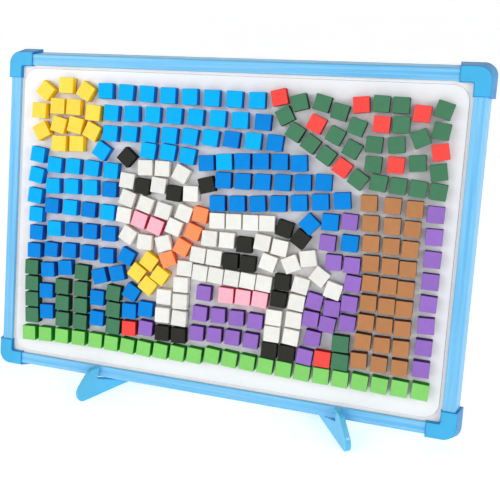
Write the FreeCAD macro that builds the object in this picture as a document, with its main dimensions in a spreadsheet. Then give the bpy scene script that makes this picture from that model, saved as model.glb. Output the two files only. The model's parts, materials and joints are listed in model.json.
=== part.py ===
"""Tabletop mosaic board: a framed steel board that leans on two slotted feet and carries
square foam pieces backed with magnet sheet, laid out as a cow under an apple tree.

The board is built in its own frame, with x along its width, y up its face, z out of its face
and the origin in the middle of the face, level with the front of the rails. It is then leaned
back and stood on its feet, with +Z up and the front towards -Y.
"""
import FreeCAD, Part
import math
import os
import random
import Sketcher
from FreeCAD import Placement, Rotation, Vector

doc = FreeCAD.newDocument("mosaic_board")

# ---------------------------------------------------------------- driving dimensions, mm and degrees

DIMENSIONS = {
    "board_width": 320.0,
    "board_height": 225.0,
    "lean": 17.0,            # the board leans back from the vertical by this angle
    "rail_face": 8.0,        # width of a rail seen from the front
    "rail_depth": 13.0,
    "rail_wall": 1.2,
    "web_thick": 1.0,        # the wall between a rail's chamber and its groove
    "rail_round": 1.4,       # rounding of a rail's two outer edges
    "side_flare": 3.2,       # a rail is this much wider at its back than at its front
    "groove_depth": 2.5,     # how far the panel sits inside the rails
    "panel_front": 2.6,      # from the front of the rails back to the panel
    "core_thick": 5.5,
    "sheet_thick": 0.5,
    "sheet_inset": 10.0,     # from the frame's outer edge to the steel sheet's edge
    "sheet_round": 10.0,
    "rib_width": 0.7,        # fine grooves along the front of a rail
    "rib_depth": 0.25,
    "rib_pitch": 1.5,
    "cap_leg": 17.0,
    "cap_arm": 9.7,
    "cap_proud": 1.0,        # the corner caps stand this far outside the rails
    "cap_round": 8.5,
    "cap_inner_round": 1.2,
    "cap_edge_round": 0.9,
    "heel_cut": 6.0,         # bevel inside a cap's heel, which keeps its wall whole
    "connector_leg": 21.0,
    "foot_thick": 3.6,
    "left_foot_place": -75.5,   # from the board's middle to each foot, which slides along the rail
    "right_foot_place": 83.7,
    "foot_splay": 34.5,      # how far a foot's front end is turned outwards
    "foot_lift": 13.7,       # from the floor to the front lower edge of the rail
    "foot_gap": 0.3,         # play between a foot's slot and the rail
    "foot_front": 18.2,      # how far a foot reaches in front of the rail
    "foot_tail": 84.0,       # how far it reaches behind the front of the rail
    "foam_thick": 5.6,
    "magnet_thick": 0.7,
    "magnet_gap": 0.2,       # the magnets' pieces rest this far from the sheet
}

sheet = doc.addObject("Spreadsheet::Sheet", "dims")
for row_number, (alias, value) in enumerate(DIMENSIONS.items(), start=1):
    cell = f"B{row_number}"
    sheet.set(f"A{row_number}", alias)
    sheet.set(cell, str(value))
    sheet.setAlias(cell, alias)
doc.recompute()


def size(alias):
    """A driving dimension, read back from the spreadsheet."""
    return float(sheet.get(alias))


LEAN = math.radians(size("lean"))
SPLAY = math.radians(size("foot_splay"))
UP_BOARD = Vector(0, math.sin(LEAN), math.cos(LEAN))
OUT_OF_BOARD = Vector(0, -math.cos(LEAN), math.sin(LEAN))
LENGTHWAYS = Vector(0, 0, 1)
HALF_WIDTH = size("board_width") / 2
HALF_HEIGHT = size("board_height") / 2

# The front lower edge of the bottom rail runs through (0, 0, foot_lift).
BOARD_PLACE = Placement(
    Vector(0, 0, size("foot_lift")) + UP_BOARD * HALF_HEIGHT,
    Rotation(Vector(1, 0, 0), 90 - size("lean")),
)

subparts = {}


def keep(node, feature, placement):
    """Register a finished sub-part under its node name and put it in its place."""
    feature.Label = node
    feature.Placement = placement
    subparts[node] = feature


# ---------------------------------------------------------------- sketching helpers

def new_body(name):
    return doc.addObject("PartDesign::Body", name + "_body")


def origin_plane(body, role):
    return next(item for item in body.Origin.OriginFeatures if item.Role == role)


def evaluate(texts):
    """The number behind each of the expressions."""
    return tuple(float(sheet.evalExpression(text)) for text in texts)


def polygon_sketch(body, name, corners, height=None, plane="XY_Plane"):
    """A closed polygon whose corners are held by expressions. height lifts the sketch off its plane."""
    sketch = body.newObject("Sketcher::SketchObject", name)
    sketch.AttachmentSupport = (origin_plane(body, plane), [""])
    sketch.MapMode = "FlatFace"
    if height is not None:
        sketch.setExpression("AttachmentOffset.Base.z", height)
    start = [evaluate(corner) for corner in corners]
    count = len(corners)
    for index in range(count):
        here, there = start[index], start[(index + 1) % count]
        sketch.addGeometry(Part.LineSegment(Vector(*here, 0), Vector(*there, 0)), False)
    for index in range(count):
        from_here = Sketcher.Constraint("Coincident", index, 2, (index + 1) % count, 1)
        sketch.addConstraint(from_here)
    for index, (across, upward) in enumerate(corners):
        for kind, text, value in (("DistanceX", across, start[index][0]),
                                  ("DistanceY", upward, start[index][1])):
            place = sketch.addConstraint(Sketcher.Constraint(kind, -1, 1, index, 1, value))
            sketch.setExpression(f"Constraints[{place}]", text)
    return sketch


def pad(body, name, sketch, length, symmetric=False):
    feature = body.newObject("PartDesign::Pad", name)
    feature.Profile = sketch
    feature.SideType = "Symmetric" if symmetric else "One side"
    feature.setExpression("Length", length)
    doc.recompute()
    return feature


def pocket(body, name, sketch, length, symmetric=False, reverse=False):
    """A pocket that has to take material away, checked by volume."""
    before = body.Shape.Volume
    feature = body.newObject("PartDesign::Pocket", name)
    feature.Profile = sketch
    feature.SideType = "Symmetric" if symmetric else "One side"
    feature.Reversed = reverse
    feature.setExpression("Length", length)
    doc.recompute()
    if not body.Shape.Volume < before - 1e-6:
        raise RuntimeError(f"{name} cuts nothing")
    return feature


def loft(body, name, kind, front, back):
    """A straight-sided loft between two sketches, which adds material or takes it away."""
    feature = body.newObject(f"PartDesign::{kind}Loft", name)
    feature.Profile = front
    feature.Sections = [back]
    feature.Ruled = True
    doc.recompute()
    return feature


def fillet(body, name, edges, radius):
    rounded = body.Tip
    feature = body.newObject("PartDesign::Fillet", name)
    feature.Base = (rounded, edges)
    feature.setExpression("Radius", radius)
    doc.recompute()
    return feature


def named_edges(shape):
    return [(f"Edge{number}", edge) for number, edge in enumerate(shape.Edges, start=1)]


def edges_along(shape, direction, points):
    """Names of the straight edges along direction that pass through any of the points."""
    found = []
    for name, edge in named_edges(shape):
        first, last = edge.Vertexes[0].Point, edge.Vertexes[-1].Point
        run = last - first
        if run.Length < 1e-6 or run.cross(direction).Length > 1e-6 * run.Length:
            continue
        for point in points:
            offset = Vector(*point) - first
            if (offset - direction * offset.dot(direction)).Length < 1e-4:
                found.append(name)
                break
    return found


# ---------------------------------------------------------------- frame: rails, connectors, caps

GROOVE_FLOOR = "dims.rail_face - dims.groove_depth"
FLARE_RATE = "dims.side_flare / dims.rail_depth"
BACK_OF_GROOVE = "dims.panel_front + dims.core_thick + dims.sheet_thick"
CHAMBER_SIDE = GROOVE_FLOOR + " - dims.web_thick"
CUT_PAST = "1"           # how far a cutting sketch reaches past the material, mm


def rail(node, length, placement):
    """A rail's section lies in the body's XY plane: x inwards from the outer edge, y out of the board."""
    body = new_body(node)
    section = polygon_sketch(body, "section", [
        ("-dims.side_flare", "-dims.rail_depth"), ("dims.rail_face", "-dims.rail_depth"),
        ("dims.rail_face", "0"), ("0", "0")])
    pad(body, "bar", section, length, symmetric=True)
    groove = polygon_sketch(body, "groove_section", [
        (GROOVE_FLOOR, "-(" + BACK_OF_GROOVE + ")"),
        ("dims.rail_face + " + CUT_PAST, "-(" + BACK_OF_GROOVE + ")"),
        ("dims.rail_face + " + CUT_PAST, "-dims.panel_front"),
        (GROOVE_FLOOR, "-dims.panel_front")])
    pocket(body, "panel_groove", groove, length, symmetric=True)
    chamber = polygon_sketch(body, "chamber_section", [
        ("dims.rail_wall - dims.side_flare", "-(dims.rail_depth - dims.rail_wall)"),
        (CHAMBER_SIDE, "-(dims.rail_depth - dims.rail_wall)"),
        (CHAMBER_SIDE, "-dims.rail_wall"),
        ("dims.rail_wall", "-dims.rail_wall")])
    pocket(body, "chamber", chamber, length, symmetric=True)
    for number in range(3):
        middle = f"dims.rail_face / 2 + {number - 1} * dims.rib_pitch"
        rib = polygon_sketch(body, f"rib_section_{number}", [
            (middle + " - dims.rib_width / 2", "-dims.rib_depth"),
            (middle + " + dims.rib_width / 2", "-dims.rib_depth"),
            (middle + " + dims.rib_width / 2", CUT_PAST),
            (middle + " - dims.rib_width / 2", CUT_PAST)])
        pocket(body, f"rib_{number}", rib, length, symmetric=True)
    outer = edges_along(body.Shape, LENGTHWAYS,
                        [(0, 0, 0), (-size("side_flare"), -size("rail_depth"), 0)])
    fillet(body, "outer_round", outer, "dims.rail_round")
    keep(node, body, placement)


def side_of_board(turns, distance):
    """Placement of a rail on the side that is reached by quarter turns from the bottom one."""
    along_x = Rotation(Vector(0, 1, 0), Vector(0, 0, 1), Vector(1, 0, 0), "XYZ")
    quarter = Rotation(Vector(0, 0, 1), 90 * turns)
    return BOARD_PLACE * Placement(Vector(), quarter) * Placement(Vector(0, -distance, 0), along_x)


LONG_RAIL = "dims.board_width - 2 * dims.rail_face"
SHORT_RAIL = "dims.board_height - 2 * dims.rail_face"
rail("bottom_rail", LONG_RAIL, side_of_board(0, HALF_HEIGHT))
rail("right_rail", SHORT_RAIL, side_of_board(1, HALF_WIDTH))
rail("top_rail", LONG_RAIL, side_of_board(2, HALF_HEIGHT))
rail("left_rail", SHORT_RAIL, side_of_board(3, HALF_WIDTH))


def l_outline(outer, leg, arm, heel_cut=None):
    """An L with its heel at (outer, outer), which heel_cut bevels, and two equal legs up to leg."""
    heel = [(outer, outer)]
    if heel_cut:
        heel = [(outer, f"{outer} + {heel_cut}"), (f"{outer} + {heel_cut}", outer)]
    return heel + [(leg, outer), (leg, arm), (arm, arm), (arm, leg), (outer, leg)]


def corner_place(turns):
    """A corner's own frame has its heel at the frame's outer corner and legs along +x and +y."""
    across, upward = [(-HALF_WIDTH, -HALF_HEIGHT), (HALF_WIDTH, -HALF_HEIGHT),
                      (HALF_WIDTH, HALF_HEIGHT), (-HALF_WIDTH, HALF_HEIGHT)][turns]
    quarter = Rotation(Vector(0, 0, 1), 90 * turns)
    return BOARD_PLACE * Placement(Vector(across, upward, 0), quarter)


def corner_connector(node, turns):
    """An L of solid plastic whose legs plug into the chambers of two rails."""
    body = new_body(node)
    outline = polygon_sketch(
        body, "outline",
        l_outline("dims.rail_wall", "dims.connector_leg", CHAMBER_SIDE, "0.7 * dims.heel_cut"),
        height="-(dims.rail_depth - dims.rail_wall)")
    pad(body, "bracket", outline, "dims.rail_depth - 2 * dims.rail_wall")
    keep(node, body, corner_place(turns))


def corner_cap(node, turns):
    """A moulded shell round the corner, open at its ends for the rails and inside for the panel.
    Its outer walls slope like the rails' sides."""
    body = new_body(node)
    depth = "(dims.rail_depth + 2 * dims.cap_proud)"
    crook = "dims.cap_arm - dims.cap_proud"
    heel_at_back = f"-dims.cap_proud - {FLARE_RATE} * {depth}"
    front = polygon_sketch(body, "front_outline", l_outline("-dims.cap_proud", "dims.cap_leg", crook),
                           height="dims.cap_proud")
    back = polygon_sketch(body, "back_outline", l_outline(heel_at_back, "dims.cap_leg", crook),
                          height="-(dims.rail_depth + dims.cap_proud)")
    loft(body, "block", "Additive", front, back)
    heel, far_heel, inside, run = evaluate(("-dims.cap_proud", heel_at_back, crook, depth))
    slant = Vector(heel - far_heel, heel - far_heel, run).normalize()
    at_front = size("cap_proud")
    fillet(body, "heel_round", edges_along(body.Shape, slant, [(heel, heel, at_front)]), "dims.cap_round")
    fillet(body, "crook_round", edges_along(body.Shape, LENGTHWAYS, [(inside, inside, 0)]),
           "dims.cap_inner_round")
    rim = [name for name, edge in named_edges(body.Shape)
           if all(abs(vertex.Z - at_front) < 1e-6 for vertex in edge.Vertexes)]
    fillet(body, "front_round", rim, "dims.cap_edge_round")
    past_leg = "dims.cap_leg + " + CUT_PAST
    rails_front = polygon_sketch(body, "rails_front",
                                 l_outline("0", past_leg, "dims.rail_face", "dims.heel_cut"))
    rails_back = polygon_sketch(
        body, "rails_back", l_outline("-dims.side_flare", past_leg, "dims.rail_face", "dims.heel_cut"),
        height="-dims.rail_depth")
    loft(body, "rails_hollow", "Subtractive", rails_front, rails_back)
    panel = polygon_sketch(
        body, "panel_outline", [(GROOVE_FLOOR, GROOVE_FLOOR), (past_leg, GROOVE_FLOOR),
                                (past_leg, past_leg), (GROOVE_FLOOR, past_leg)],
        height="-(" + BACK_OF_GROOVE + ")")
    pocket(body, "panel_slit", panel, "dims.core_thick + dims.sheet_thick", reverse=True)
    keep(node, body, corner_place(turns))


for turns, corner in enumerate(("bottom_left", "bottom_right", "top_right", "top_left")):
    corner_connector(f"corner_connector_{corner}", turns)
    corner_cap(f"corner_cap_{corner}", turns)

# ---------------------------------------------------------------- panel: core, steel front, back sheet


def panel_layer(node, inset, front, thickness, radius=None):
    """A flat rectangle inset from the frame's outer edge, with its front at this depth."""
    body = new_body(node)
    across = f"dims.board_width / 2 - ({inset})"
    upward = f"dims.board_height / 2 - ({inset})"
    outline = polygon_sketch(body, "outline", [
        ("-(" + across + ")", "-(" + upward + ")"), (across, "-(" + upward + ")"),
        (across, upward), ("-(" + across + ")", upward)],
        height=f"-({front}) - ({thickness})")
    pad(body, "plate", outline, thickness)
    if radius:
        reach_x, reach_y = evaluate((across, upward))
        corners = [(side * reach_x, end * reach_y, 0) for side in (-1, 1) for end in (-1, 1)]
        fillet(body, "corner_round", edges_along(body.Shape, LENGTHWAYS, corners), radius)
    keep(node, body, BOARD_PLACE)


panel_layer("panel_core", GROOVE_FLOOR, "dims.panel_front", "dims.core_thick")
panel_layer("back_sheet", GROOVE_FLOOR, "dims.panel_front + dims.core_thick", "dims.sheet_thick")
panel_layer("steel_sheet", "dims.sheet_inset", "dims.panel_front - dims.sheet_thick", "dims.sheet_thick",
            radius="dims.sheet_round")

# ---------------------------------------------------------------- feet

# A foot is drawn in its own upright plane, x to its front and y up from the floor, with the
# origin under the middle of the rail, where it twists.
RAIL_MIDDLE = (size("rail_face") / 2 * math.sin(LEAN) + size("rail_depth") / 2 * math.cos(LEAN))
RAIL_FRONT = RAIL_MIDDLE / math.cos(SPLAY)
SLOT_SLOPE = math.tan(LEAN) / math.cos(SPLAY)
TWIST_ROOM = size("foot_thick") / 2 * math.tan(SPLAY) + size("foot_gap") / math.cos(SPLAY)
SLOT_FRONT = RAIL_FRONT + TWIST_ROOM
SLOT_BACK = (RAIL_FRONT - size("rail_depth") / math.cos(LEAN) / math.cos(SPLAY)) - TWIST_ROOM
SLOT_DROP = 0.85         # from the rail's front lower edge down to the slot's bottom
SLOT_FALL = 0.492        # slope of that bottom, which falls to the back as the rail's underside does
PRONG_TOP = 8.4          # how far the two prongs reach above the rail's front lower edge
FRONT_PRONG = 7.4
PRONG_RISE = 0.6         # the front prong rises this much away from the slot
BACK_PRONG = 6.0
NOSE_HEIGHT = 8.6
NOSE_UNDERCUT = 0.5
SHOULDER_PLACE = 15.0    # from the slot back to the hollow between the prong and the tail
SHOULDER_DROP = 10.4
TAIL_HEIGHT = 6.0
TAIL_SLOPE = 3.0


def slot_wall(at_rail, height):
    """Where a wall of the slot is at this height above the rail's front lower edge."""
    return at_rail - SLOT_SLOPE * height


def slot_floor(along):
    return size("foot_lift") - SLOT_DROP + SLOT_FALL * (along - RAIL_FRONT)


def floor_corner(at_rail):
    """Where a slanting wall of the slot meets the sloping bottom of the slot."""
    height = (-SLOT_DROP + SLOT_FALL * (at_rail - RAIL_FRONT)) / (1 + SLOT_FALL * SLOT_SLOPE)
    along = slot_wall(at_rail, height)
    return along, slot_floor(along)


def foot_outline():
    """Corners of the blade with the radius that rounds each of them."""
    nose = RAIL_FRONT + size("foot_front")
    tail = RAIL_FRONT - size("foot_tail")
    top = size("foot_lift") + PRONG_TOP
    front_lip = slot_wall(SLOT_FRONT, PRONG_TOP)
    back_lip = slot_wall(SLOT_BACK, PRONG_TOP)
    return [
        ((nose - NOSE_UNDERCUT, 0), 4.6),
        ((nose, NOSE_HEIGHT), 9.0),
        ((front_lip + FRONT_PRONG, top + PRONG_RISE), 6.0),
        ((front_lip, top), 1.2),
        (floor_corner(SLOT_FRONT), 1.0),
        (floor_corner(SLOT_BACK), 1.0),
        ((back_lip, top), 1.2),
        ((back_lip - BACK_PRONG, top), 4.5),
        ((back_lip - SHOULDER_PLACE, top - SHOULDER_DROP), 14.0),
        ((tail + TAIL_SLOPE, TAIL_HEIGHT), 4.0),
        ((tail, 0), 2.5),
    ]


def foot(node, side):
    """side is -1 for the left foot and 1 for the right one."""
    body = new_body(node)
    corners = foot_outline()
    texts = [(f"{along:.3f}", f"{upward:.3f}") for (along, upward), _ in corners]
    outline = polygon_sketch(body, "outline", texts, plane="XZ_Plane")
    pad(body, "blade", outline, "dims.foot_thick", symmetric=True)
    for number, ((along, upward), radius) in enumerate(corners):
        edge = edges_along(body.Shape, Vector(0, 1, 0), [(round(along, 3), 0, round(upward, 3))])
        fillet(body, f"round_{number}", edge, f"{radius}")
    turn = Rotation(Vector(0, 0, 1), -90 + side * size("foot_splay"))
    keep(node, body, Placement(Vector(size(node + "_place"), RAIL_MIDDLE, 0), turn))


foot("left_foot", -1)
foot("right_foot", 1)

# ---------------------------------------------------------------- mosaic

# Each letter is one lift-off group of pieces: its node's name says what it draws, and the number
# is the side its squares were cut to, mm.
GROUPS = {
    "Y": ("sun", 10.9), "L": ("light_sky", 10.8), "D": ("dark_sky", 10.6), "A": ("apple", 10.2),
    "F": ("foliage", 10.2), "T": ("trunk", 10.2), "B": ("bush", 10.7), "R": ("flower", 10.4),
    "V": ("hill", 10.2), "G": ("grass", 10.4), "K": ("cow_ear_and_eye", 10.5),
    "S": ("cow_spot", 10.4), "J": ("cow_hoof", 10.4), "W": ("cow_head", 10.5),
    "Q": ("cow_body", 10.4), "N": ("cow_nose", 10.5), "U": ("cow_udder", 10.4),
    "O": ("cow_collar", 10.4), "E": ("cow_bell", 10.6),
}

# Rows of pieces: letters, first and last middle in mm from the frame's lower left corner, how far
# the row bows upwards (or to the right, in a column) and the clockwise turn of its pieces.
ROWS = [
    # sun
    ("Y", (30.4, 199.5), (30.4, 199.5), 0, 35),
    ("Y", (46.3, 203.8), (46.3, 203.8), 0, 0),
    ("Y", (61.4, 200.4), (61.4, 200.4), 0, 32),
    ("Y", (26.0, 185.6), (26.0, 185.6), 0, 0),
    ("YY", (40.2, 189.2), (52.6, 189.2), 0, 1),
    ("Y", (67.6, 186.0), (67.6, 186.0), 0, 2),
    ("Y", (28.4, 171.4), (28.4, 171.4), 0, -30),
    ("YY", (41.6, 176.4), (54.6, 176.8), 0, 12),
    ("Y", (67.2, 173.2), (67.2, 173.2), 0, 22),
    ("YY", (42.6, 163.4), (56.2, 164.2), 0, 0),
    # sky above the cow
    ("LLLLLLLL", (76.4, 201.2), (182.6, 199.8), -0.4, 0),
    ("LLLLLLLD", (81.4, 186.6), (187.4, 186.2), 0.6, 0),
    ("LLLLLLDLD", (81.4, 172.8), (196.0, 173.6), 0.8, 4),
    ("L", (75.4, 160.4), (75.4, 160.4), 0, 30),
    ("LLL", (109.8, 162.8), (137.9, 161.2), 0.6, 5),
    ("DLDDDD", (151.2, 157.6), (212.5, 161.8), 1.2, -2),
    # sky left of the cow
    ("LLL", (26.2, 154.6), (25.2, 125.4), 0, 8),
    ("LDD", (26.6, 112.0), (26.2, 86.0), 1, 0),
    ("LLLL", (39.8, 148.2), (83.2, 147.4), 0.4, 2),
    ("LLLD", (39.2, 133.4), (82.8, 134.4), 0.4, 0),
    ("DLDL", (39.0, 119.2), (82.0, 118.4), 0.3, 2),
    ("LDDD", (41.6, 103.2), (84.0, 103.8), 0.4, 0),
    ("DDDD", (39.8, 88.0), (83.2, 88.2), 0.8, 0),
    ("D", (98.0, 89.4), (98.0, 89.4), 0, 25),
    ("DD", (37.8, 73.2), (51.6, 76.2), 0, 0),
    ("DD", (78.4, 73.4), (91.6, 76.8), 0, -10),
    # sky right of the cow's head
    ("DDDDDD", (163.6, 147.2), (228.8, 151.0), -0.6, 0),
    ("DDDDDDD", (160.6, 131.8), (241.2, 140.6), -1.0, -2),
    ("D", (222.0, 123.9), (222.0, 123.9), 0, 42),
    ("D", (234.6, 126.6), (234.6, 126.6), 0, 2),
    ("D", (248.0, 114.6), (248.0, 114.6), 0, 0),
    # bushes at the lower left, with sky between them
    ("BBBB", (24.8, 73.6), (26.4, 38.6), 0, 0),
    ("B", (64.6, 74.4), (64.6, 74.4), 0, 0),
    ("BBB", (49.8, 62.4), (51.0, 38.8), 0, 0),
    ("BBB", (64.6, 62.4), (65.0, 38.8), 0, 0),
    ("BBB", (89.6, 62.8), (90.4, 39.2), 0, 3),
    ("DD", (37.2, 57.8), (38.2, 42.8), 0, 0),
    ("DD", (77.4, 57.8), (77.8, 43.2), 0, 2),
    ("D", (103.0, 65.0), (103.0, 65.0), 0, 28),
    ("DD", (102.2, 51.8), (114.2, 54.6), 0, 6),
    ("R", (102.6, 39.6), (102.6, 39.6), 0, 0),
    ("V", (115.0, 41.4), (115.0, 41.4), 0, 4),
    # grass
    ("GGGGG", (24.6, 25.2), (77.6, 27.2), 0.4, 0),
    ("GGGGGG", (89.8, 27.0), (151.2, 27.8), -0.4, 3),
    ("GGGGGGGGGGGG", (163.6, 29.4), (297.8, 27.8), -0.8, 2),
    # cow's head
    ("K", (94.4, 157.4), (94.4, 157.4), 0, 38),
    ("K", (152.4, 143.2), (152.4, 143.2), 0, -15),
    ("WW", (108.4, 151.6), (120.6, 151.8), 0, 0),
    ("W", (134.2, 149.2), (134.2, 149.2), 0, 25),
    ("W", (95.6, 141.6), (95.6, 141.6), 0, 4),
    ("K", (107.0, 138.6), (107.0, 138.6), 0, 4),
    ("W", (118.6, 140.2), (118.6, 140.2), 0, 4),
    ("K", (130.0, 135.6), (130.0, 135.6), 0, 4),
    ("W", (141.8, 136.6), (141.8, 136.6), 0, 0),
    ("WWW", (96.4, 129.6), (123.2, 123.4), 0, 8),
    ("W", (137.8, 123.4), (137.8, 123.4), 0, 18),
    ("W", (94.4, 117.8), (94.4, 117.8), 0, 4),
    ("NN", (106.2, 115.6), (118.0, 112.4), 0, 8),
    ("W", (131.2, 113.2), (131.2, 113.2), 0, 18),
    ("W", (98.2, 104.6), (98.2, 104.6), 0, 30),
    ("W", (110.8, 100.8), (110.8, 100.8), 0, 4),
    ("W", (124.5, 101.4), (124.5, 101.4), 0, -18),
    # collar and bell
    ("O", (149.4, 123.2), (149.4, 123.2), 0, 8),
    ("O", (145.0, 111.2), (145.0, 111.2), 0, 18),
    ("O", (137.6, 100.2), (137.6, 100.2), 0, 22),
    ("O", (128.2, 90.8), (128.2, 90.8), 0, -24),
    ("E", (114.8, 88.2), (114.8, 88.2), 0, 32),
    ("E", (106.2, 79.4), (106.2, 79.4), 0, 34),
    ("E", (123.1, 79.2), (123.1, 79.2), 0, 30),
    ("E", (114.8, 71.2), (114.8, 71.2), 0, 32),
    # cow's body, from the back down
    ("QQQQ", (161.2, 120.4), (195.2, 121.8), 0, 0),
    ("S", (206.4, 119.2), (206.4, 119.2), 0, 15),
    ("S", (216.6, 113.8), (216.6, 113.8), 0, 34),
    ("QQ", (156.6, 108.2), (168.6, 108.2), 0, 0),
    ("S", (180.6, 106.4), (180.6, 106.4), 0, 0),
    ("QQ", (192.4, 109.2), (204.0, 107.2), 0, 0),
    ("Q", (222.9, 102.6), (222.9, 102.6), 0, -12),
    ("QQ", (149.4, 96.4), (160.6, 95.6), 0, 2),
    ("SS", (172.0, 94.6), (183.8, 94.2), 0, 0),
    ("Q", (197.2, 96.6), (197.2, 96.6), 0, 18),
    ("Q", (212.4, 97.2), (212.4, 97.2), 0, -24),
    ("Q", (140.7, 86.2), (140.7, 86.2), 0, 3),
    ("QQQQQ", (151.6, 84.4), (195.4, 82.6), 0, 2),
    ("S", (207.4, 85.2), (207.4, 85.2), 0, 2),
    ("Q", (219.4, 84.4), (219.4, 84.4), 0, 12),
    ("Q", (230.9, 91.6), (230.9, 91.6), 0, 34),
    ("Q", (240.2, 83.7), (240.2, 83.7), 0, 14),
    # legs, hooves and udder
    ("QQQ", (138.6, 74.8), (138.8, 51.6), 0, 0),
    ("QQ", (127.0, 65.0), (126.6, 52.2), 0, 0),
    ("JJ", (127.2, 39.6), (139.0, 39.8), 0, 0),
    ("S", (205.8, 73.4), (205.8, 73.4), 0, 3),
    ("QQQ", (217.6, 73.0), (215.6, 50.0), 0, 2),
    ("QQ", (203.4, 61.2), (203.0, 50.2), 0, 2),
    ("JJ", (202.0, 39.2), (213.6, 38.8), 0, 0),
    ("UUU", (170.6, 71.6), (193.6, 71.8), 0, 3),
    # hills
    ("V", (155.2, 71.2), (155.2, 71.2), 0, 0),
    ("VVVV", (153.4, 57.0), (191.4, 57.0), 0.4, 0),
    ("VVVV", (151.8, 43.2), (189.4, 43.6), 0.5, 2),
    ("V", (225.4, 38.6), (225.4, 38.6), 0, 6),
    ("V", (246.8, 128.0), (246.8, 128.0), 0, 0),
    ("V", (234.2, 113.4), (234.2, 113.4), 0, 0),
    ("VV", (239.0, 101.6), (250.4, 101.0), 0, 0),
    ("VV", (251.7, 89.6), (250.9, 76.6), 0, 3),
    ("V", (229.0, 75.4), (229.0, 75.4), 0, 10),
    ("V", (240.3, 72.1), (240.3, 72.1), 0, 4),
    ("V", (227.4, 63.6), (227.4, 63.6), 0, 6),
    ("V", (238.2, 61.6), (238.2, 61.6), 0, 6),
    ("V", (250.6, 64.0), (250.6, 64.0), 0, 2),
    ("V", (229.6, 51.2), (229.6, 51.2), 0, 4),
    ("VVVVVVVV", (297.2, 137.2), (297.2, 41.8), 0.6, 0),
    ("R", (236.8, 38.8), (236.8, 38.8), 0, 2),
    ("BB", (247.4, 50.4), (248.0, 38.8), 0, 3),
    # tree trunk
    ("TTTTTTTTT", (257.6, 140.6), (259.6, 41.4), 3.7, 0),
    ("TTTTTTTTT", (271.8, 140.2), (272.0, 40.8), 1.6, 0),
    ("TTTTTTTTT", (284.8, 139.4), (284.4, 40.6), -0.6, 0),
    # apples
    ("A", (196.8, 202.4), (196.8, 202.4), 0, -14),
    ("A", (248.0, 200.2), (248.0, 200.2), 0, -6),
    ("A", (284.0, 196.6), (284.0, 196.6), 0, 4),
    ("A", (221.4, 187.0), (221.4, 187.0), 0, 25),
    ("A", (261.0, 189.0), (261.0, 189.0), 0, 2),
    ("A", (296.6, 174.4), (296.6, 174.4), 0, -12),
    ("A", (271.4, 165.0), (271.4, 165.0), 0, 2),
    # foliage
    ("F", (201.2, 191.0), (201.2, 191.0), 0, -28),
    ("F", (210.0, 199.8), (210.0, 199.8), 0, -15),
    ("FF", (224.2, 200.0), (235.4, 195.2), 0, 4),
    ("FF", (259.8, 201.4), (271.6, 201.0), 0, 0),
    ("F", (296.4, 199.4), (296.4, 199.4), 0, 18),
    ("FFFAF", (208.4, 181.2), (249.8, 154.4), 0, 14),
    ("FF", (233.8, 180.6), (244.6, 172.8), 0, 6),
    ("F", (246.4, 186.6), (246.4, 186.6), 0, 20),
    ("F", (272.6, 189.4), (272.6, 189.4), 0, 0),
    ("F", (284.4, 181.8), (284.4, 181.8), 0, -24),
    ("F", (296.0, 187.0), (296.0, 187.0), 0, 6),
    ("FF", (257.6, 176.6), (258.0, 164.4), 0, 4),
    ("F", (270.8, 177.2), (270.8, 177.2), 0, -8),
    ("F", (284.0, 167.0), (284.0, 167.0), 0, -5),
    ("F", (296.6, 162.4), (296.6, 162.4), 0, -8),
    ("FFFF", (262.2, 153.4), (297.4, 150.8), 0, 3),
]

MOST_LOOSE_TURN = 2.5
FOLLOWS_ROW = 0.5        # a piece turns by this share of its row's slope
LEAST_ROOM = 0.12
SMALLEST_PUSH = 0.002
MOST_SHIFTS = 400
NEIGHBOUR_REACH = 18.0   # pieces whose middles are farther apart than this never touch
turning = random.Random(7)


def row_middles(letters, first, last, bow):
    """Evenly spaced middles along a shallow arc from the first piece to the last."""
    start, run = Vector(*first, 0), Vector(*last, 0) - Vector(*first, 0)
    if len(letters) == 1:
        return [start]
    aside = Vector(-run.y, run.x, 0).normalize() * bow
    steps = [index / (len(letters) - 1) for index in range(len(letters))]
    return [start + run * step + aside * (4 * step * (1 - step)) for step in steps]


def row_turn(first, last):
    """How far a row of pieces leans from the level, or a column of them from the upright."""
    across, upward = last[0] - first[0], last[1] - first[1]
    if upward < -abs(across):
        across, upward = -upward, across
    return math.degrees(math.atan2(upward, across))


class Square:
    """One piece as it lies on the board: its group's letter, its middle and its turn."""

    def __init__(self, letter, middle, angle):
        self.letter = letter
        self.side = GROUPS[letter][1]
        self.middle = middle
        self.angle = angle

    def reach(self, heading):
        """How far the square reaches from its middle in the direction of heading, in degrees."""
        turn = math.radians(heading - self.angle)
        return self.side / 2 * (abs(math.cos(turn)) + abs(math.sin(turn)))

    def place(self):
        return Placement(self.middle, Rotation(Vector(0, 0, 1), self.angle))


def lay_pieces():
    """All the pieces in the places that their rows give them."""
    pieces = []
    for letters, first, last, bow, clockwise in ROWS:
        for letter, middle in zip(letters, row_middles(letters, first, last, bow)):
            loose = turning.uniform(-MOST_LOOSE_TURN, MOST_LOOSE_TURN)
            angle = FOLLOWS_ROW * row_turn(first, last) - clockwise + loose
            pieces.append(Square(letter, middle - Vector(HALF_WIDTH, HALF_HEIGHT, 0), angle))
    return pieces


def room_between(one, other):
    """The gap between two squares, negative where they overlap, and the direction across it."""
    apart = other.middle - one.middle
    widest = None
    for heading in (one.angle, one.angle + 90, other.angle, other.angle + 90):
        across = Rotation(Vector(0, 0, 1), heading).multVec(Vector(1, 0, 0))
        distance = apart.dot(across)
        room = abs(distance) - one.reach(heading) - other.reach(heading)
        if widest is None or room > widest[0]:
            widest = (room, across if distance > 0 else across * -1)
    return widest


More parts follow.
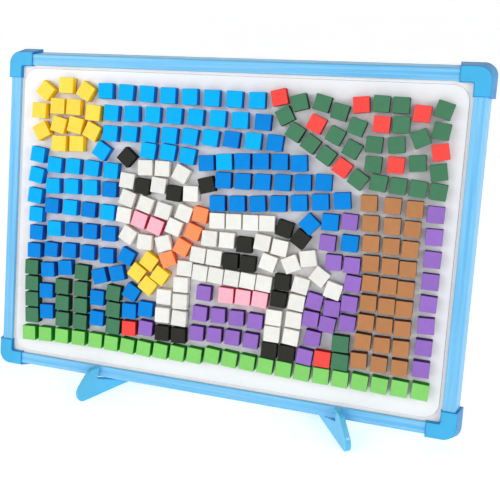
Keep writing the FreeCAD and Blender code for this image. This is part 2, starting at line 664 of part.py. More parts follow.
def settle(pieces):
    """Shift crowded pieces apart, as their foam does, until all have LEAST_ROOM round them."""
    near = [(one, other) for index, one in enumerate(pieces) for other in pieces[index + 1:]
            if (other.middle - one.middle).Length < NEIGHBOUR_REACH]
    for _ in range(MOST_SHIFTS):
        crowded = False
        for one, other in near:
            room, across = room_between(one, other)
            if room < LEAST_ROOM:
                crowded = True
                push = across * ((LEAST_ROOM - room) / 2 + SMALLEST_PUSH)
                one.middle = one.middle - push
                other.middle = other.middle + push
        if not crowded:
            return
    raise RuntimeError("the pieces don't fit beside each other")


def squares(pieces, back, thickness):
    """One square block for each piece, its back at this height over the front of the rails."""
    blocks = []
    for piece in pieces:
        corner = Vector(-piece.side / 2, -piece.side / 2, back)
        block = Part.makeBox(piece.side, piece.side, thickness, corner)
        block.Placement = piece.place()
        blocks.append(block)
    return Part.makeCompound(blocks)


SHEET_FRONT = size("sheet_thick") - size("panel_front")
MAGNET_BACK = SHEET_FRONT + size("magnet_gap")
FOAM_BACK = MAGNET_BACK + size("magnet_thick")

pieces = lay_pieces()
settle(pieces)
for letter, (name, _) in GROUPS.items():
    layers = (("foam", FOAM_BACK, size("foam_thick")), ("magnets", MAGNET_BACK, size("magnet_thick")))
    for layer, back, thickness in layers:
        node = f"{name}_{layer}"
        group = doc.addObject("Part::Feature", node + "_blocks")
        group.Shape = squares([piece for piece in pieces if piece.letter == letter], back, thickness)
        keep(node, group, BOARD_PLACE)

# ---------------------------------------------------------------- origin, checks and files

doc.recompute()
whole = FreeCAD.BoundBox()
for feature in subparts.values():
    whole.add(feature.Shape.optimalBoundingBox(False))
to_origin = Placement(Vector(0, -(whole.YMin + whole.YMax) / 2, -whole.ZMin), Rotation())
for feature in subparts.values():
    feature.Placement = to_origin * feature.Placement
doc.recompute()

for item in doc.Objects:
    if "Invalid" in item.State or "Error" in item.State:
        raise RuntimeError(f"{item.Name} ({item.Label}) failed: {item.State}")
for node, feature in subparts.items():
    if feature.Shape.isNull() or not feature.Shape.isValid():
        raise RuntimeError(f"{node} has no valid shape")

os.makedirs("parts", exist_ok=True)
for node, feature in subparts.items():
    feature.Shape.exportStep(f"parts/{node}.step")

twist = to_origin.multVec(Vector(0, RAIL_MIDDLE, 0))
print("sub-parts", len(subparts), "pieces", len(pieces))
print("twist axis of the feet at y", round(twist.y, 5))
print("overall", whole.XLength, whole.YLength, whole.ZLength)
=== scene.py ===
"""Looks of the tabletop mosaic board: a white steel board in a blue aluminium frame, leaning on
two blade feet and laid with square foam pieces on magnet sheet.

Shapes are worked out in the board's own frame (x across, y up the face, z out of the face, all
in metres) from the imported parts, and are then turned into the frame of the whole object.
"""

import math
import random

import bmesh
import bpy
import numpy as np
from mathutils import Matrix, Vector
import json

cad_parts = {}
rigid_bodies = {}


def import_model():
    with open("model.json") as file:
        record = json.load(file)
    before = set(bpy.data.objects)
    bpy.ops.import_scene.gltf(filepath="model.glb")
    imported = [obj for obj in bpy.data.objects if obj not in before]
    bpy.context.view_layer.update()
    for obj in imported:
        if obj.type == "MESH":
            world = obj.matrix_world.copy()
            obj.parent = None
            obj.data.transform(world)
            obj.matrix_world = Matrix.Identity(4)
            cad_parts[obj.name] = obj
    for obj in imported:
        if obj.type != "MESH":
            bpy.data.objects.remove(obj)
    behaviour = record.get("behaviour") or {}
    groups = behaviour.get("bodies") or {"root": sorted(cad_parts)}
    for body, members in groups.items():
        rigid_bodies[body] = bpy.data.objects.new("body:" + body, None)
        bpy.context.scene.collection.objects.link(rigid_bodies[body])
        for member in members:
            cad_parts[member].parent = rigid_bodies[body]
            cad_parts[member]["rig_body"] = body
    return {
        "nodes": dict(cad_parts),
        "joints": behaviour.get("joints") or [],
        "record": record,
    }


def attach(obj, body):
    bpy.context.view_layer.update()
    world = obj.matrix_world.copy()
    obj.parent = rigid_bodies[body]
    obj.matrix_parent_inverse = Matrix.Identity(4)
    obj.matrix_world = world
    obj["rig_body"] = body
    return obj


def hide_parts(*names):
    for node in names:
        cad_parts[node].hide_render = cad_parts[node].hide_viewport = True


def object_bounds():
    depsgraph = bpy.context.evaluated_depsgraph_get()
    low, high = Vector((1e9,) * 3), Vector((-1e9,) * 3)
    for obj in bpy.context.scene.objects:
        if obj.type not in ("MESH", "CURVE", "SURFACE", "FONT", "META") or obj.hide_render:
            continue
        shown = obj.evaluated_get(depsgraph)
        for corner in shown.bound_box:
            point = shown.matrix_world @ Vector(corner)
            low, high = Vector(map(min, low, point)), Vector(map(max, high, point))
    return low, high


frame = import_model()
cad_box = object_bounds()

MM = 0.001
WELD = 1e-6              # vertices closer than this are one, m
GROUPS = sorted(name[:-len("_foam")] for name in frame["nodes"] if name.endswith("_foam"))

# ---------------------------------------------------------------- the board's own frame

lift_off = next(joint for joint in frame["joints"] if joint["type"] == "slide")
OUT = Vector(lift_off["axis"]).normalized()
ACROSS = Vector((1, 0, 0))
UP = OUT.cross(ACROSS)
BOARD = np.array([ACROSS, UP, OUT])


def on_board(points):
    return np.asarray(points, float) @ BOARD.T


def in_world(points):
    return np.asarray(points, float) @ BOARD


def node_points(node):
    mesh = frame["nodes"][node].data
    points = np.empty(len(mesh.vertices) * 3, np.float32)
    mesh.vertices.foreach_get("co", points)
    return points.reshape(-1, 3).astype(float)


def board_box(node):
    """Lowest and highest corner of a CAD node in the board's frame."""
    points = on_board(node_points(node))
    return points.min(axis=0), points.max(axis=0)


# ---------------------------------------------------------------- meshes

def new_piece(name, vertices, faces, attributes=()):
    """A mesh object with smooth faces and, for each attribute, a number or a vector per vertex."""
    mesh = bpy.data.meshes.new(name)
    mesh.from_pydata([tuple(vertex) for vertex in vertices], [], faces)
    for key, values in attributes:
        values = np.asarray(values, np.float32)
        kind, slot = ("FLOAT_VECTOR", "vector") if values.ndim == 2 else ("FLOAT", "value")
        layer = mesh.attributes.new(key, kind, "POINT")
        layer.data.foreach_set(slot, values.ravel())
    return link_mesh(name, mesh)


def link_mesh(name, mesh, crease_degrees=32):
    mesh.validate()
    mesh.shade_smooth()
    mesh.set_sharp_from_angle(angle=math.radians(crease_degrees))
    piece = bpy.data.objects.new(name, mesh)
    bpy.context.scene.collection.objects.link(piece)
    return piece


def finish_piece(piece, node, material):
    """Hang a piece on the body of the CAD node it stands for, and give it its finish."""
    piece.data.materials.clear()
    piece.data.materials.append(material)
    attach(piece, frame["nodes"][node]["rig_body"])
    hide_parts(node)
    return piece


FLAT_TURN = 0.5          # faces that turn less than this are merged, degrees
SHARP_TURN = 40          # edges that turn more than this are rounded off, degrees


def softened_copy(node, width, segments=3):
    """The CAD node's shape with its sharp edges rounded off by width."""
    mesh = bpy.data.meshes.new(node + "_softened")
    shape = bmesh.new()
    shape.from_mesh(frame["nodes"][node].data)
    bmesh.ops.remove_doubles(shape, verts=shape.verts, dist=WELD)
    bmesh.ops.dissolve_limit(shape, angle_limit=math.radians(FLAT_TURN),
                             verts=shape.verts, edges=shape.edges)
    sharp = [edge for edge in shape.edges
             if edge.is_manifold and edge.calc_face_angle(0) > math.radians(SHARP_TURN)]
    bmesh.ops.bevel(shape, geom=sharp, offset=width, segments=segments, profile=0.5,
                    affect="EDGES", clamp_overlap=True)
    bmesh.ops.recalc_face_normals(shape, faces=shape.faces)
    shape.to_mesh(mesh)
    shape.free()
    piece = link_mesh(node + "_softened", mesh)
    weighted = piece.modifiers.new("flat_faces", "WEIGHTED_NORMAL")
    weighted.keep_sharp = True
    return piece


def arc(centre, radius, first, last, steps):
    """Points on an arc, angles in degrees, both ends included."""
    angles = [math.radians(first + (last - first) * index / steps) for index in range(steps + 1)]
    return [(centre[0] + radius * math.cos(angle), centre[1] + radius * math.sin(angle))
            for angle in angles]


def smooth_step(value):
    value = min(max(value, 0.0), 1.0)
    return value * value * (3 - 2 * value)


# ---------------------------------------------------------------- node materials

class Nodes:
    """A node tree that is written from left to right."""

    def __init__(self, name):
        self.material = bpy.data.materials.new(name)
        self.material.use_nodes = True
        self.tree = self.material.node_tree
        self.tree.nodes.clear()
        self.shader = self.add("ShaderNodeBsdfPrincipled")
        output = self.add("ShaderNodeOutputMaterial")
        self.join(self.shader.outputs["BSDF"], output.inputs["Surface"])

    def add(self, kind, **settings):
        node = self.tree.nodes.new(kind)
        for key, value in settings.items():
            setattr(node, key, value)
        return node

    def join(self, source, target):
        self.tree.links.new(source, target)

    def feed(self, target, value):
        """Connect a socket, or set a number or a colour."""
        if isinstance(value, bpy.types.NodeSocket):
            self.join(value, target)
        elif isinstance(value, (tuple, list)) and len(target.default_value) == 4:
            target.default_value = (*value, 1.0)
        else:
            target.default_value = value

    def attribute(self, name, output="Fac"):
        return self.add("ShaderNodeAttribute", attribute_name=name).outputs[output]

    def place(self):
        return self.add("ShaderNodeTexCoord").outputs["Object"]

    def stretched(self, vector, scale):
        mapping = self.add("ShaderNodeMapping")
        self.join(vector, mapping.inputs["Vector"])
        mapping.inputs["Scale"].default_value = scale
        return mapping.outputs["Vector"]

    def noise(self, vector, scale, detail=3.0, roughness=0.5, distortion=0.0):
        texture = self.add("ShaderNodeTexNoise")
        self.join(vector, texture.inputs["Vector"])
        texture.inputs["Scale"].default_value = scale
        texture.inputs["Detail"].default_value = detail
        texture.inputs["Roughness"].default_value = roughness
        texture.inputs["Distortion"].default_value = distortion
        return texture.outputs["Fac"]

    def cells(self, vector, scale):
        texture = self.add("ShaderNodeTexVoronoi", feature="F1")
        self.join(vector, texture.inputs["Vector"])
        texture.inputs["Scale"].default_value = scale
        return texture.outputs["Distance"]

    def math(self, operation, first, second=0.0, third=0.0):
        node = self.add("ShaderNodeMath", operation=operation)
        for socket, value in zip(node.inputs, (first, second, third)):
            self.feed(socket, value)
        return node.outputs[0]

    def span(self, value, low, high, to_low, to_high):
        """value from low..high, spread over to_low..to_high."""
        node = self.add("ShaderNodeMapRange")
        for key, number in (("Value", value), ("From Min", low), ("From Max", high),
                            ("To Min", to_low), ("To Max", to_high)):
            self.feed(node.inputs[key], number)
        return node.outputs["Result"]

    def mix(self, factor, first, second, blend="MIX"):
        node = self.add("ShaderNodeMix", data_type="RGBA", blend_type=blend)
        self.feed(node.inputs["Factor"], factor)
        self.feed(node.inputs[6], first)
        self.feed(node.inputs[7], second)
        return node.outputs[2]

    def brightened(self, colour, factor):
        """A colour times a number socket."""
        grey = self.add("ShaderNodeCombineColor")
        for channel in range(3):
            self.feed(grey.inputs[channel], factor)
        return self.mix(1.0, colour, grey.outputs[0], "MULTIPLY")

    def bump(self, height, distance, strength=1.0, under=None):
        node = self.add("ShaderNodeBump")
        self.join(height, node.inputs["Height"])
        node.inputs["Distance"].default_value = distance
        node.inputs["Strength"].default_value = strength
        if under is not None:
            self.join(under, node.inputs["Normal"])
        return node.outputs["Normal"]

    def turned_away(self, low, high):
        """0 on what faces straight off the board or away behind it, rising to 1 on the sides: low
        and high are the shares of the normal along OUT between which it changes."""
        facing = self.add("ShaderNodeVectorMath", operation="DOT_PRODUCT")
        self.join(self.add("ShaderNodeTexCoord").outputs["Normal"], facing.inputs[0])
        facing.inputs[1].default_value = OUT
        share = self.math("ABSOLUTE", facing.outputs["Value"])
        return self.span(share, low, high, 1.0, 0.0)

    def surface(self, colour, roughness, normal, **constants):
        self.feed(self.shader.inputs["Base Color"], colour)
        self.feed(self.shader.inputs["Roughness"], roughness)
        self.join(normal, self.shader.inputs["Normal"])
        for key, value in constants.items():
            self.feed(self.shader.inputs[key.replace("_", " ")], value)
        return self.material


def linear(red, green, blue):
    """Colour from its usual 0 to 255 numbers."""
    parts = [channel / 255 for channel in (red, green, blue)]
    return tuple(part / 12.92 if part <= 0.04045 else ((part + 0.055) / 1.055) ** 2.4
                 for part in parts)


def foam_material(name, face, cut):
    """Closed-cell foam: a fine even skin on the face, and a cut side with open pores, in a deeper
    darker colour that is partly the cut's own and partly painted shade.
    """
    nodes = Nodes(name)
    local = nodes.attribute("local", "Vector")
    side = nodes.attribute("side")
    tone = nodes.attribute("tone")
    cloud = nodes.noise(local, 260, detail=4)
    speckle = nodes.noise(local, 2600, detail=2)
    pores = nodes.cells(local, 2900)
    knife = nodes.noise(nodes.stretched(local, (0.25, 0.25, 4.0)), 1500, detail=2)
    # On the sides the colour turns to the cut colour: partly the foam's own cut, partly painted
    # shade.
    colour = nodes.mix(side, face, cut)
    shade = nodes.math("MULTIPLY_ADD", tone, 0.045, 1.0)
    shade = nodes.math("MULTIPLY", shade, nodes.span(cloud, 0.3, 0.7, 0.965, 1.03))
    shade = nodes.math("MULTIPLY", shade, nodes.span(speckle, 0.3, 0.7, 0.97, 1.03))
    open_cells = nodes.math("MULTIPLY", nodes.span(pores, 0.0, 0.35, 0.22, 0.0), side)
    shade = nodes.math("SUBTRACT", shade, open_cells)
    skin = nodes.bump(pores, 0.03 * MM, 0.35)
    skin = nodes.bump(cloud, 0.12 * MM, 0.5, under=skin)
    skin = nodes.bump(nodes.math("MULTIPLY", knife, side), 0.08 * MM, 0.7, under=skin)
    roughness = nodes.span(speckle, 0.3, 0.7, 0.74, 0.9)
    return nodes.surface(nodes.brightened(colour, shade), roughness, skin,
                         Specular_IOR_Level=0.16)


def magnet_material():
    """Brown-black flexible magnet sheet, with the fine lines of its rolling."""
    nodes = Nodes("magnet_sheet")
    local = nodes.attribute("local", "Vector")
    lines = nodes.noise(nodes.stretched(local, (0.1, 1.0, 1.0)), 2200, detail=2)
    grain = nodes.noise(local, 4200, detail=3)
    colour = nodes.mix(grain, (0.022, 0.018, 0.015), (0.055, 0.046, 0.040))
    normal = nodes.bump(lines, 0.03 * MM, 0.6)
    return nodes.surface(colour, nodes.span(grain, 0.3, 0.7, 0.5, 0.75), normal)


def rail_material():
    """Pale blue anodised aluminium with drawing lines along the rail."""
    nodes = Nodes("blue_anodised_rail")
    local = nodes.attribute("local", "Vector")
    drawn = nodes.noise(nodes.stretched(local, (0.012, 1.0, 1.0)), 1700, detail=3, roughness=0.6)
    bands = nodes.noise(nodes.stretched(local, (0.02, 1.0, 1.0)), 420, detail=2)
    cloud = nodes.noise(local, 28, detail=3)
    colour = nodes.mix(nodes.span(bands, 0.32, 0.68, 0.0, 1.0),
                       linear(92, 184, 238), linear(134, 204, 244))
    shade = nodes.math("MULTIPLY", nodes.span(drawn, 0.3, 0.7, 0.94, 1.05),
                       nodes.span(cloud, 0.3, 0.7, 0.97, 1.03))
    normal = nodes.bump(drawn, 0.02 * MM, 0.6)
    roughness = nodes.span(bands, 0.3, 0.7, 0.28, 0.44)
    return nodes.surface(nodes.brightened(colour, shade), roughness, normal,
                         Metallic=0.05, Specular_IOR_Level=0.5)


def moulded_material(name, colour, roughness, grain_depth, gloss=0.0, side=None):
    """Injection-moulded plastic with a fine spark texture and faint flow clouds. gloss is the
    weight of a clear coat, and side a deeper colour, painted shade, for what doesn't face
    straight off the board."""
    nodes = Nodes(name)
    if side is not None:
        # Painted shade: sides and rounded edges turn to the deeper side colour.
        colour = nodes.mix(nodes.turned_away(0.6, 0.97), colour, side)
    place = nodes.place()
    flow = nodes.noise(place, 60, detail=3, distortion=0.6)
    spark = nodes.noise(place, 2400, detail=3)
    shade = nodes.math("MULTIPLY", nodes.span(flow, 0.3, 0.7, 0.95, 1.05),
                       nodes.span(spark, 0.3, 0.7, 0.985, 1.015))
    normal = nodes.bump(spark, grain_depth, 0.6)
    normal = nodes.bump(flow, 0.15 * MM, 0.25, under=normal)
    rough = nodes.span(spark, 0.3, 0.7, roughness - 0.05, roughness + 0.07)
    return nodes.surface(nodes.brightened(colour, shade), rough, normal,
                         Specular_IOR_Level=0.25, Coat_Weight=gloss, Coat_Roughness=0.18)


def enamel_material():
    """Glossy white enamelled steel with a slight orange peel, wiped-off pen marks and a grey rim
    on its edges, partly the bare cut steel and partly painted shade."""
    nodes = Nodes("white_enamel")
    place = nodes.place()
    # The grey rim on the sheet's edges is partly bare cut steel, partly painted shade.
    rim = nodes.turned_away(0.9, 0.99)
    peel = nodes.noise(place, 420, detail=2)
    wiped = nodes.noise(nodes.stretched(place, (1.0, 2.2, 2.2)), 16, detail=5, distortion=1.2)
    smudge = nodes.span(wiped, 0.5, 0.75, 0.0, 0.045)
    colour = nodes.mix(smudge, linear(243, 244, 247), linear(120, 128, 140))
    colour = nodes.mix(rim, colour, linear(150, 152, 160))
    normal = nodes.bump(peel, 0.02 * MM, 0.35)
    roughness = nodes.span(wiped, 0.35, 0.7, 0.16, 0.32)
    return nodes.surface(colour, roughness, normal, Specular_IOR_Level=0.5)


def paper_material(name, light, dark, scale):
    """Painted or papered board whose fibres just show."""
    nodes = Nodes(name)
    place = nodes.place()
    fibre = nodes.noise(nodes.stretched(place, (0.22, 1.0, 1.0)), scale, detail=4, distortion=0.5)
    cloud = nodes.noise(place, 34, detail=3)
    colour = nodes.mix(nodes.span(fibre, 0.3, 0.75, 0.0, 1.0), light, dark)
    shade = nodes.span(cloud, 0.3, 0.7, 0.975, 1.02)
    normal = nodes.bump(fibre, 0.05 * MM, 0.5)
    return nodes.surface(nodes.brightened(colour, shade), nodes.span(fibre, 0.3, 0.7, 0.5, 0.72),
                         normal, Specular_IOR_Level=0.35)


# ---------------------------------------------------------------- foam pieces and their magnets

# Face and cut-side colour of each foam, 0 to 255. The cut side's deeper, darker colour is
# partly the cut foam's own and partly painted shade.
FOAM_COLOURS = {
    "foam_sun_yellow": ((255, 222, 84), (255, 205, 20)),
    "foam_light_blue": ((0, 178, 250), (0, 118, 210)),
    "foam_deep_blue": ((0, 134, 222), (0, 76, 168)),
    "foam_red": ((252, 78, 72), (190, 20, 24)),
    "foam_dark_green": ((72, 126, 94), (14, 58, 38)),
    "foam_brown": ((184, 128, 84), (112, 62, 30)),
    "foam_violet": ((150, 110, 196), (82, 44, 128)),
    "foam_grass_green": ((134, 212, 110), (20, 148, 18)),
    "foam_black": ((46, 46, 42), (20, 20, 19)),
    "foam_white": ((236, 236, 231), (236, 232, 222)),
    "foam_pink": ((255, 184, 200), (232, 78, 108)),
    "foam_orange": ((255, 150, 98), (255, 112, 38)),
}

CORNER_STEPS = 4
SIDE_STEPS = 4
CORNER_RADIUS = 0.4 * MM
LEAST_RADIUS = 0.1 * MM
RADIUS_LOST = 0.3        # how fast an inset ring's corners grow sharper, down to LEAST_RADIUS
RADIUS_GAINED = 0.12     # and how fast they open again towards the middle of the face
MOST_ROUND = 0.9         # of a ring's half width
MOST_PINCH = 0.1 * MM    # how far a block's corner may lie inside its true square
MOST_LEAN = 0.04 * MM    # how far its face and its back may lie aside, in opposite directions
WAVE_RATES = (250, 700)  # of the slow dents in a face, radians per metre
MOST_PHASE = 6.28        # of such a wave, radians
DENT_WAVES = 3

# A foam piece's rings from its back to its face: share of the thickness, inset in mm, and whether
# the ring lies on a cut side. The waist is where the die pinched the foam.
FOAM_RINGS = [
    (0.0, 0.2, 1), (0.02, 0.06, 1), (0.08, 0.0, 1), (0.3, 0.03, 1), (0.55, 0.07, 1),
    (0.78, 0.03, 1), (0.92, 0.0, 1), (0.968, 0.03, 1), (0.99, 0.09, 0.5), (0.999, 0.2, 0),
    (1.0, 0.5, 0), (1.0, 1.6, 0), (1.0, 3.1, 0), (1.0, 4.3, 0),
]
MAGNET_RINGS = [
    (0.0, 0.5, 0), (0.0, 0.16, 0), (0.12, 0.08, 1), (0.88, 0.08, 1), (1.0, 0.16, 0), (1.0, 0.5, 0),
]


def ring_outline(half, inset):
    """A rounded square in its own plane, inset from the full size."""
    reach = half - inset
    radius = max(CORNER_RADIUS - RADIUS_LOST * inset, LEAST_RADIUS) + RADIUS_GAINED * inset
    radius = min(radius, MOST_ROUND * reach)
    points = []
    for corner in range(4):
        turn = math.radians(90 * corner)
        heading = np.array([[math.cos(turn), -math.sin(turn)], [math.sin(turn), math.cos(turn)]])
        run = [(reach, -(reach - radius) + 2 * (reach - radius) * step / (SIDE_STEPS + 1))
               for step in range(1, SIDE_STEPS + 1)]
        bend = arc((reach - radius, reach - radius), radius, 0, 90, CORNER_STEPS)
        points += [heading @ np.array(point) for point in run + bend]
    return np.array(points)


def block(half, thickness, rings, chance, dent):
    """One die-cut block with its back at height 0: vertices, faces and side weights."""
    pinch = [chance.uniform(0, MOST_PINCH) for _ in range(4)]
    lean = [chance.uniform(-MOST_LEAN, MOST_LEAN) for _ in range(2)]
    waves = [(chance.uniform(*WAVE_RATES), chance.uniform(*WAVE_RATES), chance.uniform(0, MOST_PHASE))
             for _ in range(DENT_WAVES)]
    vertices, sides = [], []
    for share, inset, side in rings:
        outline = ring_outline(half, inset * MM)
        for across, upward in outline:
            east, north = (across / half + 1) / 2, (upward / half + 1) / 2
            pull = (pinch[0] * (1 - east) * (1 - north) + pinch[1] * east * (1 - north)
                    + pinch[2] * east * north + pinch[3] * (1 - east) * north)
            shrink = 1 - (pull + abs(lean[0]) + abs(lean[1])) / half
            bump = sum(math.sin(across * a + upward * b + c) for a, b, c in waves) / DENT_WAVES
            vertices.append((across * shrink + lean[0] * (share - 0.5) * 2,
                             upward * shrink + lean[1] * (share - 0.5) * 2,
                             share * thickness - dent * (0.5 + 0.5 * bump) * smooth_step(share)))
            sides.append(side)
    around = len(vertices) // len(rings)
    faces = []
    for level in range(len(rings) - 1):
        for index in range(around):
            following = (index + 1) % around
            here, above = level * around, (level + 1) * around
            faces.append((here + index, here + following, above + following, above + index))
    for level, order in ((0, -1), (len(rings) - 1, 1)):
        first = level * around
        middle = len(vertices)
        vertices.append(tuple(np.mean(vertices[first:first + around], axis=0)))
        sides.append(rings[level][2])
        for index in range(around):
            pair = (first + index, first + (index + 1) % around)[::order]
            faces.append((*pair, middle))
    return vertices, faces, sides


def block_places(node):
    """For each loose block of a CAD node: its middle, its turn, its half size and its thickness."""
    shape = bmesh.new()
    shape.from_mesh(frame["nodes"][node].data)
    bmesh.ops.remove_doubles(shape, verts=shape.verts, dist=WELD)
    shape.verts.ensure_lookup_table()
    seen, places = set(), []
    for start in shape.verts:
        if start.index in seen:
            continue
        island, queue = [], [start]
        seen.add(start.index)
        while queue:
            vertex = queue.pop()
            island.append(vertex.co)
            for edge in vertex.link_edges:
                other = edge.other_vert(vertex)
                if other.index not in seen:
                    seen.add(other.index)
                    queue.append(other)
        corners = on_board([tuple(corner) for corner in island])
        back, front = corners[:, 2].min(), corners[:, 2].max()
        face = corners[corners[:, 2] > (back + front) / 2]
        middle = face.mean(axis=0)
        reach = face[:, :2] - middle[:2]
        diagonal = reach[np.argmax(reach @ np.array([1.0, 1.0]))]
        turn = math.atan2(diagonal[1], diagonal[0]) - math.pi / 4
        half = np.linalg.norm(diagonal) / math.sqrt(2)
        places.append((middle[0], middle[1], back, turn, half, front - back))
    shape.free()
    return sorted(places)


def lay_blocks(group, layer, rings, material, dent):
    """All foam blocks or magnets of one group as one piece."""
    node = f"{group}_{layer}"
    chance = random.Random(node)
    vertices, faces, sides, tones, local = [], [], [], [], []
    for across, upward, back, turn, half, thickness in block_places(node):
        made, made_faces, made_sides = block(half, thickness, rings, chance, dent)
        made = np.array(made)
        start = len(vertices)
        cos, sin = math.cos(turn), math.sin(turn)
        turned = np.column_stack([made[:, 0] * cos - made[:, 1] * sin + across,
                                  made[:, 0] * sin + made[:, 1] * cos + upward,
                                  made[:, 2] + back])
        vertices.extend(in_world(turned))
        faces.extend([tuple(start + index for index in face) for face in made_faces])
        sides.extend(made_sides)
        tones.extend([chance.uniform(-1, 1)] * len(made))
        shift = np.array([chance.uniform(0, 1) for _ in range(3)])
        local.extend(made + shift)
    piece = new_piece(f"{node}_cut", vertices, faces,
                      (("side", sides), ("tone", tones), ("local", local)))
    return finish_piece(piece, node, material)


node_slot = {part["node"]: part["material_slot"] for part in frame["record"]["subparts"]}
foam_finish = {slot: foam_material(slot, linear(*face), linear(*cut))
               for slot, (face, cut) in FOAM_COLOURS.items()}
magnet_finish = magnet_material()
for group in GROUPS:
    slot = node_slot[f"{group}_foam"]
    lay_blocks(group, "foam", FOAM_RINGS, foam_finish[slot], dent=0.1 * MM)
    lay_blocks(group, "magnets", MAGNET_RINGS, magnet_finish, dent=0.0)

# ---------------------------------------------------------------- rails

# A rail's section, mm: x inwards from the outer edge, y out of the board from the front.
SIDE_FLARE = 3.2         # how much wider it is at its back
RAIL_ROUND = 1.4
LIP_ROUND = 0.3
RAIL_WALL = 1.2
CHAMBER_SIDE = 4.5
GROOVE_FLOOR = 5.5
BEAD = 0.85              # width of the plain bead along each edge of the front
RECESS = 0.22            # depth of the front between the beads
RECESS_SLOPE = 0.5       # width over which it goes down to that depth
RIDGE_PITCH = 1.05
RIDGE_HEIGHT = 0.07
FRONT_STEPS = 60
ROUND_STEPS = 6
LIP_STEPS = 3


def front_height(place, face):
    """The rail's front between its two edge beads: a shallow recess with fine ridges."""
    into = min(place - RAIL_ROUND - BEAD, face - LIP_ROUND - BEAD - place)
    sunk = smooth_step(into / RECESS_SLOPE)
    ridge = 0.5 + 0.5 * math.cos(2 * math.pi * (place - face / 2) / RIDGE_PITCH)
    return sunk * (RIDGE_HEIGHT * ridge - RECESS)


def rail_section(face, depth, groove_front, groove_back):
    """The outside of the section as one loop, starting on the outer side, which spreads outwards
    to the back by SIDE_FLARE."""
    slope = math.atan2(SIDE_FLARE, depth)
    side_normal = 180 - math.degrees(slope)
    front_middle, back_middle = [((RAIL_ROUND + level * math.sin(slope)) / math.cos(slope), level)
                                 for level in (-RAIL_ROUND, RAIL_ROUND - depth)]
    front_run = np.linspace(front_middle[0], face - LIP_ROUND, FRONT_STEPS + 1)[1:-1]
    loop = arc(front_middle, RAIL_ROUND, side_normal, 90, ROUND_STEPS)
    loop += [(place, front_height(place, face)) for place in front_run]
    for top, bottom in ((0.0, -groove_front), (-groove_back, -depth)):
        loop += arc((face - LIP_ROUND, top - LIP_ROUND), LIP_ROUND, 90, 0, LIP_STEPS)
        loop += arc((face - LIP_ROUND, bottom + LIP_ROUND), LIP_ROUND, 0, -90, LIP_STEPS)
        if top == 0.0:
            loop += [(GROOVE_FLOOR, -groove_front), (GROOVE_FLOOR, -groove_back)]
    loop += arc(back_middle, RAIL_ROUND, 270, side_normal, ROUND_STEPS)
    return loop


def make_rail(node, along, inward):
    """A rail's drawn section run from end to end. along and inward are its directions in the
    board's frame."""
    along, inward, out = np.array(along), np.array(inward), np.array((0.0, 0.0, 1.0))
    low, high = board_box(node)
    ends = sorted((low @ along, high @ along))
    edge = min(low @ inward, high @ inward) + SIDE_FLARE * MM
    front = high[2]
    depth = (front - low[2]) / MM
    face = abs((high - low) @ inward) / MM - SIDE_FLARE
    _, core_high = board_box("panel_core")
    back_low, _ = board_box("back_sheet")
    loops = [
        rail_section(face, depth, (front - core_high[2]) / MM, (front - back_low[2]) / MM),
        [(RAIL_WALL, -RAIL_WALL), (CHAMBER_SIDE, -RAIL_WALL),
         (CHAMBER_SIDE, RAIL_WALL - depth), (RAIL_WALL - SIDE_FLARE, RAIL_WALL - depth)],
    ]
    shape = bmesh.new()
    layer = shape.verts.layers.float_vector.new("local")
    end_edges = []
    for loop in loops:
        rows = []
        for end in ends:
            row = []
            for across, outward in loop:
                place = along * end + inward * (edge + across * MM) + out * (front + outward * MM)
                vertex = shape.verts.new(in_world(place))
                vertex[layer] = Vector((end, across * MM, outward * MM))
                row.append(vertex)
            rows.append(row)
        for index in range(len(loop)):
            after = (index + 1) % len(loop)
            shape.faces.new((rows[0][index], rows[0][after], rows[1][after], rows[1][index]))
        end_edges.append([[shape.edges.get((row[index], row[(index + 1) % len(loop)]))
                           for index in range(len(loop))] for row in rows])
    for side in range(2):
        bmesh.ops.triangle_fill(shape, edges=end_edges[0][side] + end_edges[1][side],
                                use_beauty=True)
    bmesh.ops.recalc_face_normals(shape, faces=shape.faces)
    mesh = bpy.data.meshes.new(node + "_drawn")
    shape.to_mesh(mesh)
    shape.free()
    return link_mesh(node + "_drawn", mesh, crease_degrees=38)


rail_finish = rail_material()
for node, along, inward in (("bottom_rail", (1, 0, 0), (0, 1, 0)),
                            ("right_rail", (0, 1, 0), (-1, 0, 0)),
                            ("top_rail", (1, 0, 0), (0, -1, 0)),
                            ("left_rail", (0, 1, 0), (1, 0, 0))):
    finish_piece(make_rail(node, along, inward), node, rail_finish)

# ---------------------------------------------------------------- caps, feet, panel

# The caps' deeper side colour is painted shade on their sides and rounded edges.
cap_finish = moulded_material("blue_cap_plastic", linear(66, 178, 230), 0.4, 0.02 * MM,
                              side=linear(0, 138, 204))
foot_finish = moulded_material("blue_foot_plastic", linear(78, 184, 228), 0.22, 0.01 * MM,
                               gloss=0.5)
connector_finish = moulded_material("grey_connector_plastic", linear(186, 188, 192), 0.5, 0.04 * MM)
CORNERS = ("bottom_left", "bottom_right", "top_right", "top_left")
CAP_SOFTENING = 0.3 * MM
FOOT_SOFTENING = 0.55 * MM
SHEET_SOFTENING = 0.24 * MM
for corner in CORNERS:
    cap = softened_copy(f"corner_cap_{corner}", CAP_SOFTENING)
    finish_piece(cap, f"corner_cap_{corner}", cap_finish)
    connector = frame["nodes"][f"corner_connector_{corner}"]
    connector.data.materials.clear()
    connector.data.materials.append(connector_finish)
for node in ("left_foot", "right_foot"):
    finish_piece(softened_copy(node, FOOT_SOFTENING, segments=4), node, foot_finish)

finish_piece(softened_copy("steel_sheet", SHEET_SOFTENING), "steel_sheet",
             enamel_material())
for node, finish in (
        ("panel_core", paper_material("warm_white_board", linear(253, 250, 247),
                                      linear(247, 241, 237), 900)),
        ("back_sheet", paper_material("grey_white_back", linear(236, 236, 232),
                                      linear(214, 213, 208), 520))):
    frame["nodes"][node].data.materials.clear()
    frame["nodes"][node].data.materials.append(finish)

# ---------------------------------------------------------------- floor, light, camera

FLOOR_RADIUS = 3.2       # of the flat part, m
RIM_RADIUS = 1.2
RIM_HEIGHT = 1.9
FLOOR_SPOKES = 72
RIM_STEPS = 12


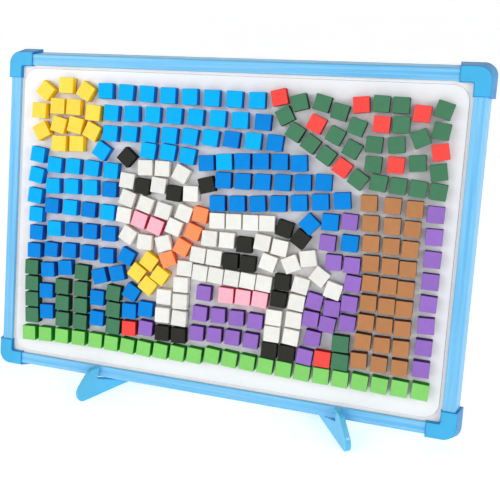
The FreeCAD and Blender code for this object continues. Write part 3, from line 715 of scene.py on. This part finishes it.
def floor():
    """A round pale sheet on which the board stands, and which curves up all round into a wall. It
    gives off some light of its own."""
    nodes = Nodes("pale_floor")
    mottle = nodes.noise(nodes.place(), 3.0, detail=2)
    colour = nodes.brightened((0.93, 0.93, 0.935), nodes.span(mottle, 0.3, 0.7, 0.99, 1.01))
    normal = nodes.bump(nodes.noise(nodes.place(), 600, detail=2), 0.02 * MM, 0.2)
    material = nodes.surface(colour, 0.9, normal, Specular_IOR_Level=0.1,
                             Emission_Color=(1.0, 1.0, 1.0), Emission_Strength=0.48)
    bend = arc((FLOOR_RADIUS, RIM_RADIUS), RIM_RADIUS, -90, 0, RIM_STEPS)
    profile = [(FLOOR_RADIUS / 3, 0.0)] + bend
    profile.append((FLOOR_RADIUS + RIM_RADIUS, RIM_HEIGHT))
    headings = [2 * math.pi * spoke / FLOOR_SPOKES for spoke in range(FLOOR_SPOKES)]
    vertices = [(0, 0, 0)] + [(radius * math.cos(heading), radius * math.sin(heading), height)
                              for radius, height in profile for heading in headings]
    faces = []
    for spoke in range(FLOOR_SPOKES):
        here, after = 1 + spoke, 1 + (spoke + 1) % FLOOR_SPOKES
        faces.append((0, here, after))
        for ring in range(len(profile) - 1):
            inner, outer = ring * FLOOR_SPOKES, (ring + 1) * FLOOR_SPOKES
            faces.append((here + inner, here + outer, after + outer, after + inner))
    sheet = new_piece("floor", vertices, faces)
    sheet.data.materials.append(material)


def soft_light(name, direction, distance, reach, watts):
    """A square soft box, reach wide, that looks at the middle of the board."""
    middle = (cad_box[0] + cad_box[1]) / 2
    data = bpy.data.lights.new(name, "AREA")
    data.shape = "SQUARE"
    data.size = reach
    data.energy = watts
    lamp = bpy.data.objects.new(name, data)
    lamp.location = middle + Vector(direction).normalized() * distance
    lamp.rotation_mode = "QUATERNION"
    lamp.rotation_quaternion = (middle - lamp.location).to_track_quat("-Z", "Y")
    bpy.context.scene.collection.objects.link(lamp)


def surroundings(strength):
    """Even white light from all round."""
    world = bpy.data.worlds.new("studio")
    world.use_nodes = True
    world.node_tree.nodes["Background"].inputs["Color"].default_value = (1, 1, 1, 1)
    world.node_tree.nodes["Background"].inputs["Strength"].default_value = strength
    bpy.context.scene.world = world


# The camera stands before the board's right half, higher than its top, and looks down at it, a
# little rolled.
EYE = Vector((0.1415, -0.4298, 0.3225))
SIGHT = Vector((-0.30861, 0.87159, -0.38090))
ROLL = math.radians(-2.06)
LENS = 53.84             # mm, on a sensor of SENSOR mm
SENSOR = 36.0
SHIFT = (0.10, -0.076)   # of the picture's middle off the line of sight, in picture widths


def camera():
    """The camera from which the board is seen as in the photo."""
    data = bpy.data.cameras.new("camera")
    data.lens = LENS
    data.sensor_width = SENSOR
    data.shift_x, data.shift_y = SHIFT
    data.clip_start = 0.01
    data.clip_end = 30.0
    eye = bpy.data.objects.new("camera", data)
    level = SIGHT.normalized().to_track_quat("-Z", "Y").to_matrix().to_4x4()
    eye.matrix_world = Matrix.Translation(EYE) @ level @ Matrix.Rotation(ROLL, 4, "Z")
    bpy.context.scene.collection.objects.link(eye)
    bpy.context.scene.camera = eye


floor()
soft_light("key", direction=(-0.62, -0.70, 0.55), distance=2.0, reach=1.1, watts=9.2)
soft_light("right", direction=(0.80, -0.55, 0.42), distance=2.0, reach=0.54, watts=7.8)
surroundings(strength=0.34)
camera()
bpy.context.scene.view_settings.view_transform = "Standard"

import json
